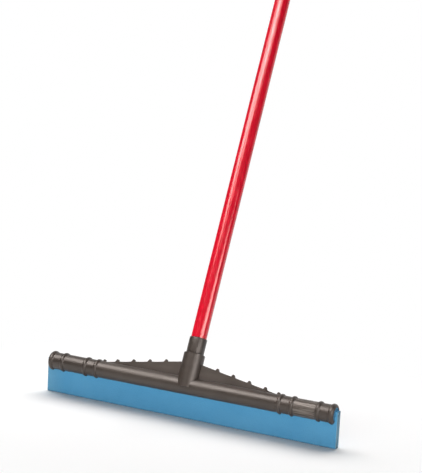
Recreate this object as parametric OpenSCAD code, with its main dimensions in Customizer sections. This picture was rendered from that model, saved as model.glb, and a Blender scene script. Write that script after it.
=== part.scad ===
// Floor squeegee: a ribbed plastic head, a foam blade held by a rod, and a coated steel handle that screws in.
// Millimetres. X runs along the bar, the handle leans towards +Y, and Z is up.
// The origin is the middle of the blade's foot.

/* [Blade] */
// Length of the foam blade
blade_l = 450; // [360:10:600]
// Thickness of the blade below the channel
blade_t = 10; // [9:0.5:12]
// Height of the blade that shows below the channel's lips
blade_free_h = 34; // [24:1:50]
// How far the blade stands out of each end of the head
blade_proud = 3.8; // [1:0.1:6]
// Diameter of the round bulb along the blade's upper edge
bulb_w = 18.8; // [16:0.2:22]
// How far the bulb stops short of each end of the blade
bulb_trim = 4; // [1:0.1:8]
// Diameter of the rod inside the bulb
rod_d = 3; // [2:0.25:4]
// How far each end of the rod lies inside the blade's end
rod_short = 2; // [1:0.5:10]

/* [Channel] */
// Wall thickness of the channel, a round tube that is open below
channel_wall = 2.4; // [1.6:0.1:3]

/* [Rings] */
// How far a bead ring stands out of the channel
ring_stand = 1.75; // [0.8:0.05:2]
// Radius of a ring's round section
ring_bead_r = 3.4; // [2:0.1:4]
// Radius of the round section of the ring at each end
end_bead_r = 4.2; // [2.4:0.1:5]
// From the end ring to the second ring
ring_gap_outer = 18.7; // [12:0.1:30]
// From the second ring to the third
ring_gap_middle = 37.9; // [20:0.1:50]
// From the third ring to the fourth
ring_gap_inner = 17.6; // [12:0.1:30]

/* [Web] */
// Thickness of the web
web_t = 3; // [2:0.25:5]
// Height of the web's edge at the socket's axis, above the channel's centre
web_h = 34.4; // [26:0.1:40]
// Depth of the hollow in the edge between two teeth
scallop_h = 0.35; // [0.2:0.05:2]
// From the middle of the bar to the first rib
rib_first = 40; // [32:0.1:50]
// Distance from one rib to the next
rib_pitch = 25.1; // [20:0.1:27]
// Thickness of a rib
rib_t = 2.4; // [1.6:0.1:4]
// How far a rib stands behind the web at its foot
rib_back = 5; // [3:0.5:8]
// From the fourth ring to the last tooth
tail_gap = 7; // [5:0.1:10]
// Height of the tooth that ends each rib, above the web's edge
tooth_h = 3.3; // [1.5:0.1:4]
// Width of a tooth at its foot
tooth_w = 6.4; // [5:0.2:8]

/* [Socket] */
// Lean of the handle, socket and web from upright
lean = 24.3; // [10:0.1:35]
// Outer diameter of the socket
socket_d = 29.8; // [26:0.2:34]
// From the channel's centre to the socket's rim
socket_l = 45.2; // [40:0.1:60]
// How far the socket runs on below that centre
socket_foot = 3; // [0.25:0.25:4]
// Diameter of the socket's bore, over the thread's crests
socket_bore_d = 20; // [19:0.2:22]
// Height of the bore's floor above the channel's centre
bore_floor = 15; // [14:0.5:18]
// Bevel on the rim, outside and inside
rim_bevel = 0.6; // [0.3:0.1:1]

/* [Handle] */
// Outer diameter of the coated handle
handle_d = 22.2; // [20:0.2:24]
// Thickness of the plastic coating
coat_t = 0.4; // [0.3:0.05:0.8]
// Wall of the steel tube
tube_wall = 0.6; // [0.4:0.05:1]
// Length of the coated tube
handle_l = 1200; // [900:10:1500]
// Wall of the ferrule's collar
collar_wall = 1.2; // [0.8:0.1:2]
// Length of the collar
collar_l = 22; // [16:0.1:30]
// Thickness of the ferrule between its shank and the tube's end
ferrule_floor = 3; // [2:0.25:5]
// Depth of the screw thread on the shank
thread_h = 0.7; // [0.6:0.1:1]
// Wall of the ferrule's hollow shank
shank_wall = 3; // [2:0.25:4]
// Length of the ferrule's plug inside the tube
plug_l = 16; // [10:1:30]
// Gap below the shank in the bore
shank_gap = 2; // [1:0.25:4]

/* [Cap] */
// Wall of the cap over the handle
cap_wall = 1.2; // [0.8:0.1:2]
// Length of handle that the cap covers
cap_cover = 22; // [15:1:40]
// Height of the cap's crown above the tube's end
crown_h = 5; // [4:0.5:10]
// Thickness of the hanging eye
eye_t = 6; // [4:0.5:8]
// Diameter of the hole in the eye
eye_hole_d = 9; // [6:0.5:10]
// Wall of the eye round its hole
eye_wall = 4; // [3:0.5:6]
// Height of the hole's centre above the crown
eye_rise = 9; // [8:0.5:16]

/* [Hidden] */
$fn = 64;

// Clearance between pieces that slide or turn on each other
slide_gap = 0.3;
// Clearance of the rod in the bulb
rod_gap = 0.05;
// Clearance of pieces that are pressed or shrunk together
press_gap = 0.02;
// Overlap of shapes that are joined within one piece
bite = 0.5;

// Channel: the bulb sets its bore, and the blade the slot between its lips
channel_in_r = bulb_w / 2 + slide_gap;
channel_r = channel_in_r + channel_wall;
slot_r = blade_t / 2 + slide_gap;
axis_z = blade_free_h + sqrt(channel_r * channel_r - slot_r * slot_r);
head_l = blade_l - 2 * blade_proud;
blade_h = axis_z + bulb_w / 4;

// Rings, counted from each end inwards
ring_1_x = head_l / 2 - end_bead_r;
ring_2_x = ring_1_x - ring_gap_outer;
ring_3_x = ring_2_x - ring_gap_middle;
ring_4_x = ring_3_x - ring_gap_inner;
ring_xs = [ring_2_x, ring_3_x, ring_4_x];
ring_r = channel_r + ring_stand;

// Web: its edge falls from the socket to the inner ring, just under the top of the channel
tail_x = ring_4_x - tail_gap;
tail_h = channel_r - bite;
edge_slope = (web_h - tail_h) / tail_x;
edge_angle = atan(edge_slope);
rib_count = floor((tail_x - rib_first) / rib_pitch) + 1;
rib_xs = [for (k = [0:rib_count - 1]) rib_first + k * rib_pitch];
tooth_xs = concat(rib_xs, [tail_x]);
tooth_tip_r = 1.9;

// Places along the handle's axis, from the channel's centre
collar_at = socket_l + slide_gap;
seat_at = collar_at + ferrule_floor;
handle_end = seat_at + handle_l;
shank_at = bore_floor + shank_gap;

// Radii of the handle's pieces
coat_r = handle_d / 2;
tube_r = coat_r - coat_t - press_gap;
tube_in_r = tube_r - tube_wall;
plug_r = tube_in_r - press_gap;
collar_in_r = coat_r + press_gap;
shank_r = socket_bore_d / 2 - thread_h;
core_r = shank_r - shank_wall;

function edge_h(x) = web_h - edge_slope * x;

// A round of radius r about the channel's centre
module round_section(r) {
    translate([0, axis_z])
        circle(r = r);
}

// A YZ outline carried along the bar, centred
module along_bar(length) {
    rotate([90, 0, 90])
        linear_extrude(length, center = true)
            children();
}

// The frame of the web and the handle: z along the handle's axis
module leaning() {
    translate([0, 0, axis_z])
        rotate([-lean, 0, 0])
            children();
}

// One bead ring round the channel at x
module ring(x, bead_r) {
    translate([x, 0, axis_z])
        rotate([90, 0, 90])
            rotate_extrude()
                translate([ring_r - bead_r, 0])
                    circle(r = bead_r);
}

// A tooth on the web's edge, with a round tip
module tooth() {
    polygon([
        [-tooth_w / 2, -scallop_h - bite],
        [tooth_w / 2, -scallop_h - bite],
        [tooth_w / 2, -scallop_h],
        [tooth_tip_r, tooth_h - tooth_tip_r],
        [-tooth_tip_r, tooth_h - tooth_tip_r],
        [-tooth_w / 2, -scallop_h]
    ]);
    translate([0, tooth_h - tooth_tip_r])
        circle(r = tooth_tip_r);
}

// One half of the web in its own plane: a tapering plate, hollowed between the teeth
module web_outline() {
    difference() {
        polygon([
            [-bite, 0],
            [ring_4_x, 0],
            [ring_4_x, edge_h(ring_4_x)],
            [-bite, edge_h(-bite)]
        ]);
        for (k = [0:len(tooth_xs) - 2])
            scallop(tooth_xs[k], tooth_xs[k + 1]);
    }
    for (x = tooth_xs)
        translate([x, edge_h(x)])
            tooth();
}

// The shallow round hollow between the teeth at x0 and x1, square to the sloping edge
module scallop(x0, x1) {
    half = (x1 - x0) / 2 / cos(edge_angle);
    scallop_r = (half * half + scallop_h * scallop_h) / (2 * scallop_h);
    middle = (x0 + x1) / 2;
    translate([middle, edge_h(middle)])
        rotate(-edge_angle)
            translate([0, scallop_r - scallop_h])
                circle(r = scallop_r);
}

// A rib behind the web: a fin that tapers up to its tooth
module rib(x) {
    top = edge_h(x) + tooth_h - tooth_tip_r;
    back = web_t / 2 + rib_back;
    translate([x, 0, 0])
        rotate([90, 0, 90])
            linear_extrude(rib_t, center = true)
                polygon([[0, 0], [back, 0], [back, channel_r], [web_t / 2, top], [0, top]]);
}

// The socket as a turned shape: rim bevels, bore and floor
module socket() {
    r = socket_d / 2;
    bore_r = socket_bore_d / 2;
    rotate_extrude()
        polygon([
            [0, -socket_foot],
            [r, -socket_foot],
            [r, socket_l - rim_bevel],
            [r - rim_bevel, socket_l],
            [bore_r + rim_bevel, socket_l],
            [bore_r, socket_l - rim_bevel],
            [bore_r, bore_floor],
            [0, bore_floor]
        ]);
}

// The space that is kept clear for the shank in the socket
module socket_bore() {
    translate([0, 0, bore_floor])
        cylinder(d = socket_bore_d, h = socket_l);
}

// The head: channel, rings, web and socket in one moulding
module head_moulding() {
    color([0.33, 0.3, 0.28])
        difference() {
            union() {
                along_bar(2 * ring_1_x)
                    round_section(channel_r);
                for (side = [-1, 1]) {
                    ring(side * ring_1_x, end_bead_r);
                    for (x = ring_xs)
                        ring(side * x, ring_bead_r);
                }
                leaning() {
                    difference() {
                        for (side = [0, 1])
                            mirror([side, 0, 0]) {
                                rotate([90, 0, 0])
                                    linear_extrude(web_t, center = true)
                                        web_outline();
                                for (x = rib_xs)
                                    rib(x);
                            }
                        socket_bore();
                    }
                    socket();
                }
            }
            along_bar(2 * head_l)
                channel_space();
        }
}

// The channel's inside: a round bore, and the slot between the lips below it
module channel_space() {
    slot_h = 2 * ring_r;
    round_section(channel_in_r);
    translate([-slot_r, axis_z - slot_h])
        square([2 * slot_r, slot_h]);
}

// The blade: a flat strip from the floor up into the channel, and the round bulb that holds it there
module blade() {
    color([0.29, 0.53, 0.71])
        difference() {
            union() {
                along_bar(blade_l)
                    translate([-blade_t / 2, 0])
                        square([blade_t, blade_h]);
                along_bar(blade_l - 2 * bulb_trim)
                    round_section(bulb_w / 2);
            }
            along_bar(2 * blade_l)
                round_section(rod_d / 2 + rod_gap);
        }
}

// The rod through the bulb
module retaining_rod() {
    color([0.75, 0.76, 0.78])
        translate([0, 0, axis_z])
            rotate([0, 90, 0])
                cylinder(d = rod_d, h = blade_l - 2 * rod_short, center = true);
}

// The ferrule: a hollow screw shank, a collar round the handle's end and a plug inside the tube
module threaded_ferrule() {
    collar_r = coat_r + collar_wall;
    collar_top = collar_at + collar_l;
    color([0.3, 0.28, 0.26])
        leaning()
            rotate_extrude()
                polygon([
                    [core_r, shank_at],
                    [shank_r - rim_bevel, shank_at],
                    [shank_r, shank_at + rim_bevel],
                    [shank_r, collar_at],
                    [collar_r - rim_bevel, collar_at],
                    [collar_r, collar_at + rim_bevel],
                    [collar_r, collar_top - rim_bevel],
                    [collar_r - rim_bevel, collar_top],
                    [collar_in_r, collar_top],
                    [collar_in_r, seat_at],
                    [plug_r, seat_at],
                    [plug_r, seat_at + plug_l - rim_bevel],
                    [plug_r - rim_bevel, seat_at + plug_l],
                    [core_r, seat_at + plug_l]
                ]);
}

// A plain pipe on the handle's axis, from the ferrule's seat to the handle's end
module pipe(r, wall) {
    leaning()
        translate([0, 0, seat_at])
            difference() {
                cylinder(r = r, h = handle_l);
                translate([0, 0, -bite])
                    cylinder(r = r - wall, h = handle_l + 2 * bite);
            }
}

// The steel tube
module handle_tube() {
    color([0.72, 0.73, 0.74])
        pipe(tube_r, tube_wall);
}

// The red film over the tube
module handle_coating() {
    color([0.86, 0.06, 0.16])
        pipe(coat_r, coat_t);
}

// The cap on the handle's upper end, with a flat eye to hang it by
module hang_cap() {
    cap_r = coat_r + cap_wall;
    crown_top = handle_end + crown_h;
    eye_r = eye_hole_d / 2 + eye_wall;
    color([0.3, 0.28, 0.26])
        leaning()
            difference() {
                union() {
                    rotate_extrude()
                        polygon([
                            [0, handle_end],
                            [collar_in_r, handle_end],
                            [collar_in_r, handle_end - cap_cover],
                            [cap_r, handle_end - cap_cover],
                            [cap_r, handle_end],
                            [eye_r, crown_top],
                            [0, crown_top]
                        ]);
                    translate([0, 0, crown_top])
                        rotate([90, 0, 90])
                            linear_extrude(eye_t, center = true)
                                eye_outline(eye_r);
                }
                translate([0, 0, crown_top + eye_rise])
                    rotate([0, 90, 0])
                        cylinder(d = eye_hole_d, h = 2 * eye_t, center = true);
            }
}

// The eye: a tab with a round end about the hole's centre
module eye_outline(r) {
    translate([-r, -bite])
        square([2 * r, eye_rise + bite]);
    translate([0, eye_rise])
        circle(r = r);
}

head_moulding();
blade();
retaining_rod();
threaded_ferrule();
handle_tube();
handle_coating();
hang_cap();
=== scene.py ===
import math

import bmesh
import bpy
import numpy as np
from mathutils import Matrix
from mathutils.geometry import tessellate_polygon


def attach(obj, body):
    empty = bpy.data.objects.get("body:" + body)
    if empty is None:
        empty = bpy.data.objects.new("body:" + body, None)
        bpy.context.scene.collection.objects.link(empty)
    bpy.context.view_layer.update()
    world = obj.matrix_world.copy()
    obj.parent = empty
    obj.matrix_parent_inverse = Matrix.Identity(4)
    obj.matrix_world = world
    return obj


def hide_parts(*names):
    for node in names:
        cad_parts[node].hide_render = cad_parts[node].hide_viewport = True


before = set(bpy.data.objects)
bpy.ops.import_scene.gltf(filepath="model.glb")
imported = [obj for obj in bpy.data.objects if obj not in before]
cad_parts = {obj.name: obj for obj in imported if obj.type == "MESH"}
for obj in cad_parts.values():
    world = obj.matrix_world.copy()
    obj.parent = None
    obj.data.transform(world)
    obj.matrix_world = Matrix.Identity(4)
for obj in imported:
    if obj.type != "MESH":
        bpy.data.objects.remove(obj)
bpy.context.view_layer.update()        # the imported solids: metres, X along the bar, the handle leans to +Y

scene = bpy.context.scene
print("frame loaded:", ", ".join(sorted(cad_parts)))

# places that several pieces share, the same as on the solids
place = {
    "lean": math.radians(24.3),    # handle and socket, from upright
    "axisHeight": 0.0448775,       # centre of the round channel
    "filmRadius": 0.0111,          # outside of the red film
}


# turned by the lean about X and lifted to the channel's centre: local z runs up the handle
def leanOver(points):
    c, s = math.cos(place["lean"]), math.sin(place["lean"])
    x, y, z = points[..., 0], points[..., 1], points[..., 2]
    return np.stack([x, y * c + z * s, z * c - y * s + place["axisHeight"]], axis=-1)


# quads between neighbouring points of a grid; a wrapped side joins its last line to its first
def gridFaces(rows, cols, wrapRows=False, wrapCols=False):
    r = np.arange(rows if wrapRows else rows - 1)[:, None]
    c = np.arange(cols if wrapCols else cols - 1)[None, :]
    r2, c2 = (r + 1) % rows, (c + 1) % cols
    return np.stack(np.broadcast_arrays(r * cols + c, r * cols + c2, r2 * cols + c2, r2 * cols + c), -1).reshape(-1, 4)


# closed outline: each corner becomes an arc that touches its two sides, of the corner's own radius
def roundedOutline(corners, radii, arcPoints=5):
    p = np.asarray(corners, float)
    r = np.asarray(radii, float)[:, None]
    a, b = np.roll(p, 1, axis=0) - p, np.roll(p, -1, axis=0) - p
    a /= np.linalg.norm(a, axis=1, keepdims=True)
    b /= np.linalg.norm(b, axis=1, keepdims=True)
    half = np.arccos(np.clip((a * b).sum(1, keepdims=True), -1, 1)) / 2
    middle = (a + b) / np.linalg.norm(a + b, axis=1, keepdims=True)
    centre = p + middle * r / np.sin(half)
    start, end = p + a * r / np.tan(half) - centre, p + b * r / np.tan(half) - centre
    t = np.linspace(0, 1, arcPoints)[None, :, None]
    sweep = (math.pi - 2 * half)[:, :, None]
    blend = (np.sin((1 - t) * sweep) * start[:, None] + np.sin(t * sweep) * end[:, None]) / np.sin(sweep)
    return (centre[:, None] + blend).reshape(-1, 2)


# points spread evenly along a closed outline, about one step apart
def evenOutline(outline, step):
    loop = np.vstack([outline, outline[:1]])
    run = np.concatenate([[0], np.cumsum(np.linalg.norm(np.diff(loop, axis=0), axis=1))])
    s = np.linspace(0, run[-1], int(run[-1] / step), endpoint=False)
    return np.stack([np.interp(s, run, loop[:, 0]), np.interp(s, run, loop[:, 1])], -1)


# a closed outline of (radius, height) turned round the handle's axis
def turned(outline, steps):
    a = np.linspace(0, 2 * math.pi, steps, endpoint=False)[:, None]
    r, h = outline[None, :, 0], outline[None, :, 1]
    grid = np.stack(np.broadcast_arrays(r * np.cos(a), r * np.sin(a), h), -1)
    return grid, gridFaces(steps, len(outline), True, True)


# a mesh from points and faces that rides on a body; edges sharper than the angle, in degrees, stay sharp
def makePiece(name, points, faces, body, sharpAngle=35):
    mesh = bpy.data.meshes.new(name)
    mesh.from_pydata(np.reshape(points, (-1, 3)).tolist(), [], [list(f) for f in faces])
    work = bmesh.new()
    work.from_mesh(mesh)
    bmesh.ops.recalc_face_normals(work, faces=work.faces)
    work.to_mesh(mesh)
    work.free()
    mesh.shade_smooth()
    mesh.set_sharp_from_angle(angle=math.radians(sharpAngle))
    piece = bpy.data.objects.new(name, mesh)
    scene.collection.objects.link(piece)
    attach(piece, body)
    return piece


# short hand for shader nodes: newNode(tree, type, socket values), joined with link
def newNode(tree, kind, values=None, **settings):
    node = tree.nodes.new(kind)
    for key, value in settings.items():
        setattr(node, key, value)
    for key, value in (values or {}).items():
        node.inputs[key].default_value = value
    return node


def link(tree, source, out, target, into):
    tree.links.new(source.outputs[out], target.inputs[into])


# a finish with colour, roughness and height that vary: each layer is noise on Object coordinates
def blankFinish(name):
    material = bpy.data.materials.new(name)
    material.use_nodes = True
    tree = material.node_tree
    shader = tree.nodes["Principled BSDF"]
    coords = newNode(tree, "ShaderNodeTexCoord")
    return material, tree, shader, coords


def noiseLayer(tree, coords, scale, stretch=(1, 1, 1), detail=3.0, turn=(0, 0, 0)):
    mapping = newNode(tree, "ShaderNodeMapping", {"Scale": stretch, "Rotation": turn})
    noise = newNode(tree, "ShaderNodeTexNoise", {"Scale": scale, "Detail": detail})
    link(tree, coords, "Object", mapping, "Vector")
    link(tree, mapping, "Vector", noise, "Vector")
    return noise


def rampLayer(tree, source, out, stops):
    ramp = newNode(tree, "ShaderNodeValToRGB")
    elements = ramp.color_ramp.elements
    while len(elements) < len(stops):
        elements.new(0.5)
    for element, (at, colour) in zip(elements, stops):
        element.position = at
        element.color = (*colour, 1.0)
    link(tree, source, out, ramp, "Fac")
    return ramp


def rangeLayer(tree, source, out, low, high, fromLow=0.3, fromHigh=0.7):
    spread = newNode(tree, "ShaderNodeMapRange",
                     {"From Min": fromLow, "From Max": fromHigh, "To Min": low, "To Max": high})
    link(tree, source, out, spread, "Value")
    return spread


# goes over from the colour below to one colour, by a share from 0 to 1
def tintLayer(tree, share, shareOut, below, belowOut, colour):
    tint = newNode(tree, "ShaderNodeMix", {"B": (*colour, 1)}, data_type="RGBA")
    link(tree, share, shareOut, tint, "Factor")
    link(tree, below, belowOut, tint, "A")
    return tint


def bumpLayer(tree, source, out, strength, distance, below=None):
    bump = newNode(tree, "ShaderNodeBump", {"Strength": strength, "Distance": distance})
    link(tree, source, out, bump, "Height")
    if below:
        link(tree, below, "Normal", bump, "Normal")
    return bump


# camera at the photograph's angle: set back from the aim point along the view, then moved sideways and up
cameraSet = {
    "elevation": math.radians(9.3368), "azimuth": math.radians(27.049), "roll": math.radians(3.0033),
    "distance": 1.8710, "aimHeight": 0.03146, "right": 0.03376, "up": 0.21809,
    "focalPixels": 1362.79, "frameHeight": 473, "sensor": 36.0, "clipEnd": 50,
}


# where a camera or lamp stands: its three axes as columns, then its place
def standAt(right, up, back, spot):
    return Matrix([[*axes, s] for axes, s in zip(np.stack([right, up, back], 1), spot)] + [[0, 0, 0, 1]])


def makeCamera(cs):
    e, a, r = cs["elevation"], cs["azimuth"], cs["roll"]
    forward = np.array([-math.sin(a) * math.cos(e), math.cos(a) * math.cos(e), -math.sin(e)])
    level = np.array([math.cos(a), math.sin(a), 0.0])
    top = np.cross(level, forward)
    right, up = math.cos(r) * level + math.sin(r) * top, math.cos(r) * top - math.sin(r) * level
    spot = np.array([0, 0, cs["aimHeight"]]) - forward * cs["distance"] + right * cs["right"] + up * cs["up"]
    data = bpy.data.cameras.new("photoCamera")
    data.sensor_width = cs["sensor"]
    data.lens = cs["focalPixels"] / cs["frameHeight"] * cs["sensor"]
    data.clip_end = cs["clipEnd"]
    camera = bpy.data.objects.new("photoCamera", data)
    camera.matrix_world = standAt(right, up, -forward, spot)
    scene.collection.objects.link(camera)
    scene.camera = camera


makeCamera(cameraSet)

# floor, background and lamps
floorSet = {
    "half": 6.0, "lines": 13, "drop": 0.0002, "colour": (0.90, 0.90, 0.90), "glow": 0.01,
    "fadeFrom": 0.24, "fadeTo": 0.46,
}
worldSet = {"background": 1.0, "room": 0.05, "fill": 0.05, "backdropFrom": 0.45, "backdropTo": 0.85}
cardColour, boxColour = (1.0, 0.92, 0.87), (1.0, 0.98, 0.945)
lampAim = 0.15    # height above the middle of the floor that every lamp faces
lampSet = {
    # azimuth from the back (+Y) towards +X, elevation, distance, width and height, watts
    "keyCard": {"azimuth": 223, "elevation": 61.4, "distance": 2.40, "size": (3.40, 0.81), "power": 77, "card": True},
    "frontCard": {"azimuth": 170, "elevation": 58, "distance": 1.98, "size": (2.10, 0.28), "power": 10, "card": True},
    "sideCard": {"azimuth": 225, "elevation": 45, "distance": 1.62, "size": (0.94, 0.41), "power": 12, "card": True},
    "rightCard": {"azimuth": 116.7, "elevation": 13.8, "distance": 1.08, "size": (1.04, 0.41), "power": 10.8,
                  "card": True},
    "backBox": {"azimuth": 332, "elevation": 58, "distance": 2.2, "size": (3.8, 1.6), "power": 94,
                "soft": True, "colour": (1, 1, 1)},
    "frontBox": {"azimuth": 172, "elevation": 3.5, "distance": 2.3, "size": (2.0, 0.40), "power": 40,
                 "soft": True, "colour": boxColour},
}


def makeFloor(fs):
    span = np.linspace(-fs["half"], fs["half"], fs["lines"])
    x, y = np.meshgrid(span, span, indexing="ij")
    points = np.stack([x, y, np.full_like(x, -fs["drop"])], -1).reshape(-1, 3)
    mesh = bpy.data.meshes.new("studioFloor")
    mesh.from_pydata(points.tolist(), [], gridFaces(fs["lines"], fs["lines"])[:, ::-1].tolist())
    floor = bpy.data.objects.new("studioFloor", mesh)
    scene.collection.objects.link(floor)
    material, tree, shader, coords = blankFinish("studioPaper")
    tree.nodes.remove(shader)
    paper = newNode(tree, "ShaderNodeBsdfDiffuse", {"Color": (*fs["colour"], 1)})
    glow = newNode(tree, "ShaderNodeEmission", {"Color": (1, 1, 1, 1)})
    path = newNode(tree, "ShaderNodeLightPath")
    mirrored = newNode(tree, "ShaderNodeMath", operation="MAXIMUM")
    seen = newNode(tree, "ShaderNodeMath", operation="MAXIMUM")
    level = newNode(tree, "ShaderNodeMath", {1: fs["glow"]}, operation="MULTIPLY")
    both = newNode(tree, "ShaderNodeAddShader")
    link(tree, path, "Is Glossy Ray", mirrored, 0)
    link(tree, path, "Is Transmission Ray", mirrored, 1)
    link(tree, path, "Is Camera Ray", seen, 0)
    link(tree, mirrored, 0, seen, 1)
    link(tree, seen, 0, level, 0)
    link(tree, level, 0, glow, "Strength")
    link(tree, paper, 0, both, 0)
    link(tree, glow, 0, both, 1)
    # away from the object the paper goes over to the white of the background
    spread = newNode(tree, "ShaderNodeVectorMath", operation="LENGTH")
    fade = newNode(tree, "ShaderNodeMapRange", {"From Min": fs["fadeFrom"], "From Max": fs["fadeTo"]},
                   interpolation_type="SMOOTHSTEP")
    share = newNode(tree, "ShaderNodeMath", operation="MULTIPLY")
    white = newNode(tree, "ShaderNodeEmission", {"Color": (1, 1, 1, 1), "Strength": 1.0})
    whole = newNode(tree, "ShaderNodeMixShader")
    link(tree, coords, "Object", spread, 0)
    link(tree, spread, "Value", fade, "Value")
    link(tree, fade, "Result", share, 0)
    link(tree, seen, 0, share, 1)
    link(tree, share, 0, whole, 0)
    link(tree, both, 0, whole, 1)
    link(tree, white, 0, whole, 2)
    link(tree, whole, 0, tree.nodes["Material Output"], "Surface")
    mesh.materials.append(material)


def makeWorld(ws):
    world = bpy.data.worlds.new("studioWhite")
    world.use_nodes = True
    scene.world = world
    tree = world.node_tree
    background = tree.nodes["Background"]
    background.inputs["Color"].default_value = (1, 1, 1, 1)
    path = newNode(tree, "ShaderNodeLightPath")
    first = newNode(tree, "ShaderNodeMath", operation="MAXIMUM")
    second = newNode(tree, "ShaderNodeMath", operation="MAXIMUM")
    spread = newNode(tree, "ShaderNodeMapRange", {"To Min": ws["fill"]})
    # what the gloss shows: the white backdrop behind the object, and a dim room round it
    coords = newNode(tree, "ShaderNodeTexCoord")
    split = newNode(tree, "ShaderNodeSeparateXYZ")
    room = newNode(tree, "ShaderNodeMapRange", {"From Min": ws["backdropFrom"], "From Max": ws["backdropTo"],
                                                "To Min": ws["room"], "To Max": ws["background"]})
    shown = newNode(tree, "ShaderNodeMath", operation="MAXIMUM")
    link(tree, coords, "Generated", split, 0)
    link(tree, split, "Y", room, "Value")
    link(tree, room, "Result", shown, 0)
    link(tree, first, 0, shown, 1)
    link(tree, shown, 0, spread, "To Max")
    link(tree, path, "Is Camera Ray", first, 0)
    link(tree, path, "Is Transmission Ray", first, 1)
    link(tree, first, 0, second, 0)
    link(tree, path, "Is Glossy Ray", second, 1)
    link(tree, second, 0, spread, "Value")
    link(tree, spread, "Result", background, "Strength")


def makeLamp(name, ls):
    a, e = math.radians(ls["azimuth"]), math.radians(ls["elevation"])
    away = np.array([math.sin(a) * math.cos(e), math.cos(a) * math.cos(e), math.sin(e)])
    right = np.array([-math.cos(a), math.sin(a), 0.0])
    up = np.cross(away, right)
    data = bpy.data.lights.new(name, "AREA")
    data.shape = "RECTANGLE"
    data.size, data.size_y = ls["size"]
    data.energy = ls["power"]
    data.color = ls.get("colour", cardColour)
    lamp = bpy.data.objects.new(name, data)
    lamp.matrix_world = standAt(right, up, away, np.array([0, 0, lampAim]) + away * ls["distance"])
    # a card only shows in the gloss and a soft lamp only lights, so the level of light on the object stays plain
    lamp.visible_diffuse = not ls.get("card", False)
    lamp.visible_glossy = not ls.get("soft", False)
    scene.collection.objects.link(lamp)


makeFloor(floorSet)
makeWorld(worldSet)
for lampName, lampValues in lampSet.items():
    makeLamp(lampName, lampValues)
scene.view_settings.view_transform = "Standard"
print("camera, floor and lamps set")

# dark grey moulded plastic: faint flow streaks along the bar, fine grain, uneven gloss
plasticSet = {
    "dark": (0.040, 0.030, 0.025), "mid": (0.053, 0.041, 0.034), "light": (0.070, 0.056, 0.048),
    "roughLow": 0.34, "roughHigh": 0.46, "ior": 1.49, "grain": 1400, "grainBump": 0.10, "patches": 22, "patchShare": 0.45,
    # the band's paler colour is partly wear and partly a painted highlight
    "scuffSheenFrom": 0.1640, "scuffSheenTo": 0.1950, "scuffSheenEdge": 0.0008, "scuffAndSheen": (0.150, 0.128, 0.112),
    "scuffSheenStreaks": (30, 620, 620),
}


def plasticFinish(name, ps, flow=(6, 90, 90)):
    material, tree, shader, coords = blankFinish(name)
    streaks = noiseLayer(tree, coords, 1.0, flow, 4.0)
    patches = noiseLayer(tree, coords, ps["patches"])
    grain = noiseLayer(tree, coords, ps["grain"], detail=2.0)
    mix = newNode(tree, "ShaderNodeMix", {"Factor": ps["patchShare"]}, data_type="FLOAT")
    link(tree, streaks, "Fac", mix, "A")
    link(tree, patches, "Fac", mix, "B")
    ramp = rampLayer(tree, mix, "Result", [(0.34, ps["dark"]), (0.52, ps["mid"]), (0.70, ps["light"])])
    # scuffed band between two of the rings, streaked along the bar; its paler streaks are partly wear and partly a
    # painted highlight
    split = newNode(tree, "ShaderNodeSeparateXYZ")
    link(tree, coords, "Object", split, "Vector")
    fromLow = rangeLayer(tree, split, "X", 0.0, 1.0, ps["scuffSheenFrom"], ps["scuffSheenFrom"] + ps["scuffSheenEdge"])
    fromHigh = rangeLayer(tree, split, "X", 1.0, 0.0, ps["scuffSheenTo"] - ps["scuffSheenEdge"], ps["scuffSheenTo"])
    scuffSheenStreaks = noiseLayer(tree, coords, 1.0, ps["scuffSheenStreaks"])
    wornAndSheen = rangeLayer(tree, scuffSheenStreaks, "Fac", 0.0, 1.0, 0.44, 0.60)
    band = newNode(tree, "ShaderNodeMath", operation="MULTIPLY")
    share = newNode(tree, "ShaderNodeMath", operation="MULTIPLY")
    link(tree, fromLow, "Result", band, 0)
    link(tree, fromHigh, "Result", band, 1)
    link(tree, band, 0, share, 0)
    link(tree, wornAndSheen, "Result", share, 1)
    scuffedAndSheened = tintLayer(tree, share, 0, ramp, "Color", ps["scuffAndSheen"])
    link(tree, scuffedAndSheened, "Result", shader, "Base Color")
    rough = rangeLayer(tree, patches, "Fac", ps["roughLow"], ps["roughHigh"])
    link(tree, rough, "Result", shader, "Roughness")
    flowBump = bumpLayer(tree, streaks, "Fac", 0.05, 0.0004)
    bump = bumpLayer(tree, grain, "Fac", ps["grainBump"], 0.0002, flowBump)
    link(tree, bump, "Normal", shader, "Normal")
    shader.inputs["IOR"].default_value = ps["ior"]
    return material


headPlastic = plasticFinish("headPlastic", plasticSet)
endPlastic = plasticFinish("endPlastic", dict(plasticSet, grain=1700), (60, 60, 60))

# head: the CAD shape with its sharp moulded edges broken
headSet = {"edge": 0.00035, "segments": 2, "angle": math.radians(32), "weld": 1e-6, "faceWeight": 100}


def makeHead(hs):
    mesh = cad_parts["head_moulding"].data.copy()
    mesh.name = "headShell"
    work = bmesh.new()
    work.from_mesh(mesh)
    bmesh.ops.remove_doubles(work, verts=work.verts, dist=hs["weld"])
    work.to_mesh(mesh)
    work.free()
    mesh.shade_smooth()
    mesh.set_sharp_from_angle(angle=hs["angle"])
    mesh.materials.clear()
    mesh.materials.append(headPlastic)
    head = bpy.data.objects.new("headShell", mesh)
    scene.collection.objects.link(head)
    bevel = head.modifiers.new("brokenEdges", "BEVEL")
    bevel.width = hs["edge"]
    bevel.segments = hs["segments"]
    bevel.limit_method = "ANGLE"
    bevel.angle_limit = hs["angle"]
    even = head.modifiers.new("evenShade", "WEIGHTED_NORMAL")
    even.weight = hs["faceWeight"]
    even.keep_sharp = True
    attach(head, "head")
    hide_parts("head_moulding")


makeHead(headSet)
print("head made")

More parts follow.
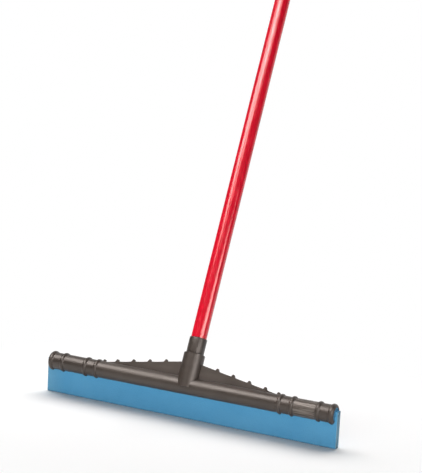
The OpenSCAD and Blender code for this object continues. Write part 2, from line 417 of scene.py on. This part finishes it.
# blade: a foam strip carried along the bar, a little wavy towards its foot, and the round bulb in the channel
bladeSet = {
    "half": 0.2250, "thick": 0.0100, "top": 0.0340, "height": 0.0495775, "step": 0.0009, "stations": 260,
    "footRadius": 0.0007, "topRadius": 0.0004, "wave": 0.00035, "pillow": 0.00012,
    "bond": 0.0004, "bondDepth": 0.0005, "bondEdge": 0.0001, "bondTip": 0.00003,
    "endRound": 0.0004, "endStretch": 1.6, "endStations": (1.0, 0.9985, 0.9972), "evenTo": 0.996,
    "holeRadius": 0.00155, "holePoints": 24,
}
bulbSet = {"half": 0.2210, "radius": 0.0094, "edge": 0.0008, "around": 64, "holeEdge": 0.0002}


# the strip's section: a rounded bar with a fine groove along the middle of its foot
def bladeOutline(bs):
    t, g, h = bs["thick"] / 2, bs["bond"] / 2, bs["height"]
    corners = [(0, bs["bondDepth"]), (-g, 0), (-t, 0), (-t, h), (t, h), (t, 0), (g, 0)]
    foot, top, edge = bs["footRadius"], bs["topRadius"], bs["bondEdge"]
    return evenOutline(roundedOutline(corners, [bs["bondTip"], edge, foot, top, top, foot, edge]), bs["step"])


def makeBlade(bs):
    outline = bladeOutline(bs)
    n, m = len(outline), bs["holePoints"]
    # stations along the bar, from -1 to 1, with closer ones where the cut ends are rounded
    u, ends = np.linspace(-1, 1, bs["stations"]), np.array(bs["endStations"])
    x = np.unique(np.concatenate([-ends, u[np.abs(u) < bs["evenTo"]], ends]))[:, None] * bs["half"]
    y, z = outline[None, :, 0], outline[None, :, 1]
    # the rounding grows as a square, from 0 to 1, over a short stretch at each end
    stretch, middle = bs["endRound"] * bs["endStretch"], 0.5 * bs["height"]
    gone = np.clip((np.abs(x) - bs["half"] + stretch) / stretch, 0, 1) ** 2
    y2 = y * (1 - gone * bs["endRound"] / (bs["thick"] / 2))
    z2 = z + gone * np.where(z > 0, np.sign(middle - z) * bs["endRound"], 0) * (np.abs(z - middle) > middle * 0.9)
    # sway: three sines along the bar, which die out up to the channel; pillow: faces that swell and sink by turns
    sway = bs["wave"] * (np.sin(13 * x + 0.6) + 0.6 * np.sin(31 * x + 2.1) + 0.35 * np.sin(74 * x + 4.0))
    sway = sway * np.clip((bs["top"] - z) / bs["top"], 0, 1) ** 1.3
    pillow = bs["pillow"] * np.sin(90 * x + 1.0) * np.sin(np.clip(z / bs["top"], 0, 1) * math.pi) * np.sign(y)
    grid = np.stack([np.broadcast_to(x, (len(x), n)), y2 + sway + pillow, np.maximum(z2, 0)], -1)
    faces = gridFaces(len(x), n, False, True).tolist()
    # the two cut ends, with the rod's hole left open, and the hole's own wall
    a = np.linspace(0, 2 * math.pi, m, endpoint=False)
    hole = np.stack([bs["holeRadius"] * np.cos(a), place["axisHeight"] + bs["holeRadius"] * np.sin(a)], -1)
    rings = [np.stack([np.full(m, s * bs["half"]), hole[:, 0], hole[:, 1]], -1) for s in (-1, 1)]
    base = grid.shape[0] * n
    for k, row in ((0, 0), (1, grid.shape[0] - 1)):
        outer = [(p[1], p[2], 0.0) for p in grid[row]]
        inner = [(p[1], p[2], 0.0) for p in rings[k]]
        index = np.concatenate([row * n + np.arange(n), base + k * m + np.arange(m)])
        faces += [index[list(t)].tolist() for t in tessellate_polygon([outer, inner])]
    faces += (gridFaces(2, m, False, True) + base).tolist()
    points = np.vstack([grid.reshape(-1, 3), *rings])
    blade = makePiece("foamBlade", points, faces, "blade", 40)
    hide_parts("blade")
    return blade


# the bulb: an outline of (radius, place along the bar) turned round the channel's centre, open for the rod
def makeBulb(bs, holeRadius):
    h, r, e, inside = bs["half"], bs["radius"], bs["edge"], bs["holeEdge"]
    outline = roundedOutline([(holeRadius, -h), (r, -h), (r, h), (holeRadius, h)], [inside, e, e, inside])
    grid, faces = turned(outline, bs["around"])
    points = np.stack([grid[..., 2], grid[..., 0], grid[..., 1] + place["axisHeight"]], -1)
    return makePiece("foamBulb", points, faces, "blade", 50)


foamSet = {
    "deep": (0.061, 0.252, 0.452), "mid": (0.068, 0.265, 0.468), "pale": (0.075, 0.279, 0.484),
    "paintedEndLight": (0.190, 0.360, 0.480), "paintedFootShade": (0.085, 0.120, 0.160), "leftEndLight": (0.130, 0.300, 0.420),
    "endLightFrom": 0.0006, "endLightTo": 0.0001, "leftEndLightWidth": 0.030, "footShadeFrom": 0.0006, "footShadeTo": 0.0026,
    "clouds": 16, "pores": 620, "poreBump": 0.35, "fine": 2400, "rough": 0.85, "specular": 0.25,
}


# closed-cell foam: cloudy colour, small pores painted darker as painted shade, painted light on both cut ends and
# towards the left end, and painted shade along the foot
def foamFinish(fs, half):
    material, tree, shader, coords = blankFinish("blueFoam")
    clouds = noiseLayer(tree, coords, fs["clouds"], (1, 1, 1.6), 4.0)
    ramp = rampLayer(tree, clouds, "Fac", [(0.33, fs["deep"]), (0.5, fs["mid"]), (0.68, fs["pale"])])
    pores = newNode(tree, "ShaderNodeTexVoronoi", {"Scale": fs["pores"], "Randomness": 1.0})
    link(tree, coords, "Object", pores, "Vector")
    fine = noiseLayer(tree, coords, fs["fine"], detail=2.0)
    split = newNode(tree, "ShaderNodeSeparateXYZ")
    link(tree, coords, "Object", split, "Vector")
    out = newNode(tree, "ShaderNodeMath", operation="ABSOLUTE")
    link(tree, split, "X", out, 0)
    # paler colour on both cut ends: painted light, standing in for light the end faces do not get
    endLightShare = rangeLayer(tree, out, 0, 0.0, 1.0, half - fs["endLightFrom"], half - fs["endLightTo"])
    # paler towards the left end over a few centimetres: painted light
    leftEndLightShare = rangeLayer(tree, split, "X", 0.5, 0.0, -half, fs["leftEndLightWidth"] - half)
    # darker over the lowest few millimetres of the blade: painted shade along the foot where it meets the floor
    footShadeShare = rangeLayer(tree, split, "Z", 0.35, 0.0, fs["footShadeFrom"], fs["footShadeTo"])
    blend = tintLayer(tree, endLightShare, "Result", ramp, "Color", fs["paintedEndLight"])
    leftEndLit = tintLayer(tree, leftEndLightShare, "Result", blend, "Result", fs["leftEndLight"])
    footShaded = tintLayer(tree, footShadeShare, "Result", leftEndLit, "Result", fs["paintedFootShade"])
    # pores painted darker towards their middles: painted shade in the pits
    poreShade = rangeLayer(tree, pores, "Distance", 0.80, 1.0, 0.0, 0.35)
    shade = newNode(tree, "ShaderNodeMix", {"Factor": 1.0}, data_type="RGBA", blend_type="MULTIPLY")
    link(tree, footShaded, "Result", shade, "A")
    link(tree, poreShade, "Result", shade, "B")
    link(tree, shade, "Result", shader, "Base Color")
    bump = bumpLayer(tree, pores, "Distance", fs["poreBump"], 0.0003)
    top = bumpLayer(tree, fine, "Fac", 0.12, 0.0002, bump)
    link(tree, top, "Normal", shader, "Normal")
    shader.inputs["Roughness"].default_value = fs["rough"]
    shader.inputs["Specular IOR Level"].default_value = fs["specular"]
    return material


blueFoam = foamFinish(foamSet, bladeSet["half"])
for foamPiece in (makeBlade(bladeSet), makeBulb(bulbSet, bladeSet["holeRadius"])):
    foamPiece.data.materials.append(blueFoam)
print("blade made")

# handle film: a long thin pipe, its outside very slightly uneven
filmSet = {
    "from": 0.0485, "to": 1.2485, "inner": 0.01070, "round": 0.00012, "around": 96, "rings": 240,
    "uneven": 0.00003, "sink": 0.00007,    # the sink keeps the uneven outside within the film's radius
}


def makeFilm(fs):
    h = np.linspace(fs["from"], fs["to"], fs["rings"])
    out, ins, b = place["filmRadius"], fs["inner"], fs["round"]
    rows = np.concatenate([[fs["from"]], h, [fs["to"], fs["to"], fs["from"]]])
    radii = np.concatenate([[out - b], np.full(len(h), out), [out - b, ins, ins]])
    rows[1] += b
    rows[len(h)] -= b
    grid, faces = turned(np.stack([radii, rows], -1), fs["around"])
    a, s = np.arctan2(grid[..., 1], grid[..., 0]), grid[..., 2]
    bumpy = fs["uneven"] * (np.sin(3 * a + 21 * s) + np.sin(2 * a - 47 * s + 1.3) + 0.7 * np.sin(5 * a + 90 * s + 0.4))
    outside = np.hypot(grid[..., 0], grid[..., 1]) > out - 1e-6
    lift = 1 - np.where(outside, (fs["sink"] - bumpy) / out, 0)
    grid[..., 0] *= lift
    grid[..., 1] *= lift
    film = makePiece("redFilm", leanOver(grid), faces, "handle")
    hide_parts("handle_coating")
    return film


redSet = {
    "deep": (0.70, 0.003, 0.020), "mid": (0.79, 0.005, 0.027), "bright": (0.86, 0.009, 0.036),
    "roughLow": 0.13, "roughHigh": 0.24, "ior": 1.62, "streaks": (260, 260, 5), "ripple": (120, 120, 34),
}


# glossy red plastic: drawn along the handle, with faint streaks and a soft ripple in the gloss
def redFinish(rs):
    material, tree, shader, coords = blankFinish("redPlastic")
    turn = (place["lean"], 0, 0)
    streaks = noiseLayer(tree, coords, 1.0, rs["streaks"], 3.0, turn)
    ripple = noiseLayer(tree, coords, 1.0, rs["ripple"], 2.0, turn)
    ramp = rampLayer(tree, streaks, "Fac", [(0.30, rs["deep"]), (0.5, rs["mid"]), (0.72, rs["bright"])])
    link(tree, ramp, "Color", shader, "Base Color")
    rough = rangeLayer(tree, ripple, "Fac", rs["roughLow"], rs["roughHigh"])
    link(tree, rough, "Result", shader, "Roughness")
    bump = bumpLayer(tree, ripple, "Fac", 0.10, 0.0006)
    fine = bumpLayer(tree, streaks, "Fac", 0.05, 0.0002, bump)
    link(tree, fine, "Normal", shader, "Normal")
    shader.inputs["IOR"].default_value = rs["ior"]
    return material


redFilm = makeFilm(filmSet)
redFilm.data.materials.append(redFinish(redSet))
print("handle film made")

# ferrule: screw shank, collar and plug turned as one outline; its thread is a ridge wound up the shank
ferruleSet = {
    "core": 0.0063, "shank": 0.0093, "shankFrom": 0.0170, "collar": 0.0123, "collarFrom": 0.0455, "collarTo": 0.0675,
    "collarInner": 0.01112, "seat": 0.0485, "plug": 0.01006, "plugTo": 0.0645, "edge": 0.0005, "around": 96,
}
threadSet = {
    "root": 0.0091, "crest": 0.0099, "pitch": 0.00508, "from": 0.0195, "to": 0.0422, "base": 0.0026, "tip": 0.0008,
    "perTurn": 48, "fadeAngle": 2.0, "fadeLeast": 0.02,
}


def makeFerrule(fs):
    e = fs["edge"]
    corners = [(fs["core"], fs["shankFrom"]), (fs["shank"], fs["shankFrom"]), (fs["shank"], fs["collarFrom"]),
               (fs["collar"], fs["collarFrom"]), (fs["collar"], fs["collarTo"]), (fs["collarInner"], fs["collarTo"]),
               (fs["collarInner"], fs["seat"]), (fs["plug"], fs["seat"]), (fs["plug"], fs["plugTo"]),
               (fs["core"], fs["plugTo"])]
    radii = [e * 0.6, e * 1.6, e * 0.4, e, e, e * 0.5, e * 0.3, e * 0.3, e, e * 0.6]
    grid, faces = turned(roundedOutline(corners, radii), fs["around"])
    ferrule = makePiece("screwFerrule", leanOver(grid), faces, "handle", 50)
    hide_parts("threaded_ferrule")
    return ferrule


# the ridge's outline of four points, carried up a helix and shrunk almost to nothing at both ends
def makeThread(ts):
    turns = (ts["to"] - ts["from"]) / ts["pitch"]
    a = np.linspace(0, turns * 2 * math.pi, int(turns * ts["perTurn"]))[:, None]
    fade = np.clip(np.minimum(a, a[-1] - a) / ts["fadeAngle"], ts["fadeLeast"], 1)
    along = np.array([-ts["base"], -ts["tip"], ts["tip"], ts["base"]])[None] / 2 * (0.35 + 0.65 * fade)
    r = np.array([0, 1, 1, 0])[None] * (ts["crest"] - ts["root"]) * fade + ts["root"]
    h = ts["from"] + ts["pitch"] * a / (2 * math.pi) + along
    grid = np.stack([r * np.cos(a), r * np.sin(a), h], -1)
    faces = gridFaces(len(a), 4, False, True).tolist() + [[3, 2, 1, 0], [4 * len(a) - 4 + k for k in range(4)]]
    return makePiece("screwThread", leanOver(grid), faces, "handle", 30)


for endPiece in (makeFerrule(ferruleSet), makeThread(threadSet)):
    endPiece.data.materials.append(endPlastic)
print("ferrule made")

# cap: a turned cup with a domed crown, and an eye whose rounded section is carried round its hole
capSet = {
    "inner": 0.01112, "outer": 0.0123, "from": 1.2265, "end": 1.2485, "crown": 1.2535, "shoulder": 0.0085, "around": 96,
    "eyeHole": 0.0045, "eyeWall": 0.0040, "eyeThick": 0.0060, "eyeAt": 1.2625, "softness": 0.45, "eyeSink": 0.0012,
    "eyeAround": 120, "eyeSection": 28, "core": 0.0004,
}


def makeCap(cs):
    corners = [(cs["inner"], cs["from"]), (cs["outer"], cs["from"]), (cs["outer"], cs["end"]),
               (cs["shoulder"], cs["crown"]), (cs["core"], cs["crown"]), (cs["core"], cs["end"]),
               (cs["inner"], cs["end"])]
    radii = [0.0003, 0.0005, 0.0016, 0.0014, 0.0001, 0.0001, 0.0003]
    cup, cupFaces = turned(roundedOutline(corners, radii), cs["around"])
    # the eye: round the angle a its outer edge is a circle above the hole and a straight-sided tab below it
    around, section = cs["eyeAround"], cs["eyeSection"]
    a = np.linspace(0, 2 * math.pi, around, endpoint=False)[:, None]
    b = np.linspace(0, 2 * math.pi, section, endpoint=False)[None, :]
    wide, drop = cs["eyeHole"] + cs["eyeWall"], cs["eyeAt"] - cs["crown"] + cs["eyeSink"]
    side = wide / np.maximum(np.abs(np.cos(a)), 1e-6)
    foot = drop / np.maximum(-np.sin(a), 1e-6)
    reach = np.where(np.sin(a) >= 0, wide, np.minimum(side, foot))
    middle, half = (reach + cs["eyeHole"]) / 2, (reach - cs["eyeHole"]) / 2
    soft = cs["softness"]
    across = middle + half * np.sign(np.cos(b)) * np.abs(np.cos(b)) ** soft
    thick = np.broadcast_to(cs["eyeThick"] / 2 * np.sign(np.sin(b)) * np.abs(np.sin(b)) ** soft, across.shape)
    eye = np.stack([thick, across * np.cos(a), cs["eyeAt"] + across * np.sin(a)], -1)
    points = np.vstack([cup.reshape(-1, 3), eye.reshape(-1, 3)])
    faces = cupFaces.tolist() + (gridFaces(around, section, True, True) + cup.shape[0] * cup.shape[1]).tolist()
    cap = makePiece("hangCap", leanOver(points), faces, "handle", 50)
    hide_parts("hang_cap")
    return cap


makeCap(capSet).data.materials.append(endPlastic)
print("cap made")

# steel: the drawn rod and the rolled tube keep their CAD shapes
steelSet = {"dark": (0.40, 0.41, 0.42), "light": (0.62, 0.63, 0.64)}


def steelFinish(name, ss, stretch):
    material, tree, shader, coords = blankFinish(name)
    lines = noiseLayer(tree, coords, 1.0, stretch, 4.0)
    ramp = rampLayer(tree, lines, "Fac", [(0.3, ss["dark"]), (0.7, ss["light"])])
    link(tree, ramp, "Color", shader, "Base Color")
    rough = rangeLayer(tree, lines, "Fac", 0.22, 0.42)
    link(tree, rough, "Result", shader, "Roughness")
    bump = bumpLayer(tree, lines, "Fac", 0.08, 0.0002)
    link(tree, bump, "Normal", shader, "Normal")
    shader.inputs["Metallic"].default_value = 1.0
    return material


for nodeName, stretch in (("retaining_rod", (9, 900, 900)), ("handle_tube", (700, 30, 30))):
    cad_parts[nodeName].material_slots[0].material = steelFinish(nodeName + "Steel", steelSet, stretch)
print("steel set")
